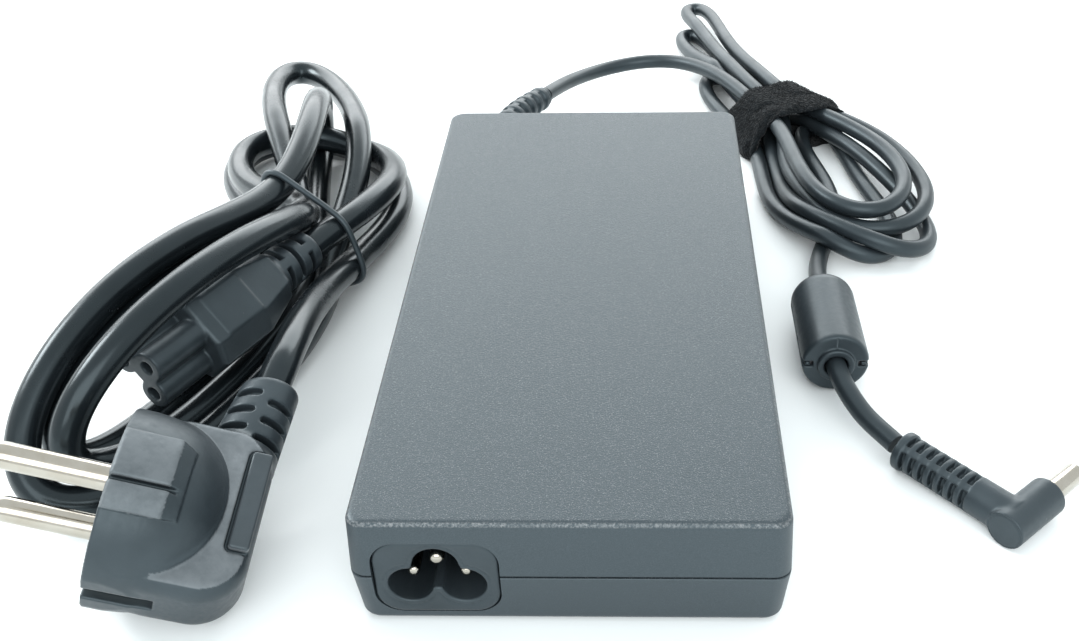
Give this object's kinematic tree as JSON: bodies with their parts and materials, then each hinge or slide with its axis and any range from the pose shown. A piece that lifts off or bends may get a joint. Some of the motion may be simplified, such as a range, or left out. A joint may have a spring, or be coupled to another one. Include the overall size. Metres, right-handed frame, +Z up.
{
  "type": "laptop power adapter",
  "caption": "Slim laptop power adapter brick with a recessed mains inlet, a strapped low-voltage cord with ferrite and angled plug, and its coiled mains lead.",
  "frame": {"origin": "middle of the underside of the adapter's case, on the surface it stands on", "axes": "+X to the right seen from the mains inlet, +Y from the mains inlet to the low-voltage cord, +Z up"},
  "size_m": [0.2187, 0.2913, 0.037],
  "materials": {
    "case_plastic": "fine spark-eroded grain, charcoal",
    "black_plastic": "satin moulded black",
    "plated_metal": "bright nickel plate",
    "dc_cord_jacket": "matte dark grey jacket",
    "mains_cord_jacket": "glossy black jacket",
    "strap_fabric": "fuzzy hook-and-loop",
    "circuit_laminate": "green glass-epoxy laminate",
    "aluminium": "bare rolled sheet",
    "ferrite_ceramic": "sintered dark grey",
    "copper_winding": "enamelled copper",
    "component_plastic": "moulded component body",
    "insulation_film": "thin translucent film"
  },
  "bodies": {
    "adapter": {"upper_case": "case_plastic", "lower_case": "case_plastic", "inlet_housing": "black_plastic", "inlet_pin_earth": "plated_metal", "inlet_pin_line": "plated_metal", "inlet_pin_neutral": "plated_metal", "circuit_board": "circuit_laminate", "insulation_sheet": "insulation_film", "lower_heat_spreader": "aluminium", "upper_heat_spreader": "aluminium", "fuse": "insulation_film", "x_capacitor": "component_plastic", "common_mode_choke": "copper_winding", "bridge_rectifier": "black_plastic", "primary_heatsink": "aluminium", "primary_transistor": "black_plastic", "pfc_inductor": "ferrite_ceramic", "bulk_capacitor_left": "black_plastic", "bulk_capacitor_right": "black_plastic", "transformer_core": "ferrite_ceramic", "transformer_winding": "copper_winding", "secondary_heatsink": "aluminium", "secondary_rectifier": "black_plastic", "output_capacitor_left": "black_plastic", "output_capacitor_right": "black_plastic", "dc_strain_relief": "black_plastic", "dc_cord_lead": "dc_cord_jacket", "dc_cord_hank": "dc_cord_jacket", "cord_strap": "strap_fabric", "dc_cord_tail": "dc_cord_jacket", "ferrite_cover_upper": "black_plastic", "ferrite_cover_lower": "black_plastic", "ferrite_core": "ferrite_ceramic", "dc_plug_overmould": "black_plastic", "dc_plug_barrel": "plated_metal", "dc_plug_insulator": "insulation_film", "dc_plug_centre_pin": "plated_metal"},
    "mains_lead": {"connector_contact_earth": "plated_metal", "connector_contact_line": "plated_metal", "connector_contact_neutral": "plated_metal", "connector_overmould": "black_plastic", "earth_clip_near": "plated_metal", "earth_clip_far": "plated_metal", "plug_pin_line": "plated_metal", "plug_pin_neutral": "plated_metal", "mains_plug_overmould": "black_plastic", "mains_cord_hank": "mains_cord_jacket", "wire_tie": "black_plastic", "mains_cord_plug_end": "mains_cord_jacket"}
  },
  "joints": [
    {"name": "mains_lead_lift_off", "type": "slide", "parent": "adapter", "child": "mains_lead", "axis": [0, 0, 1], "range_m": [0, 0.08]}
  ]
}
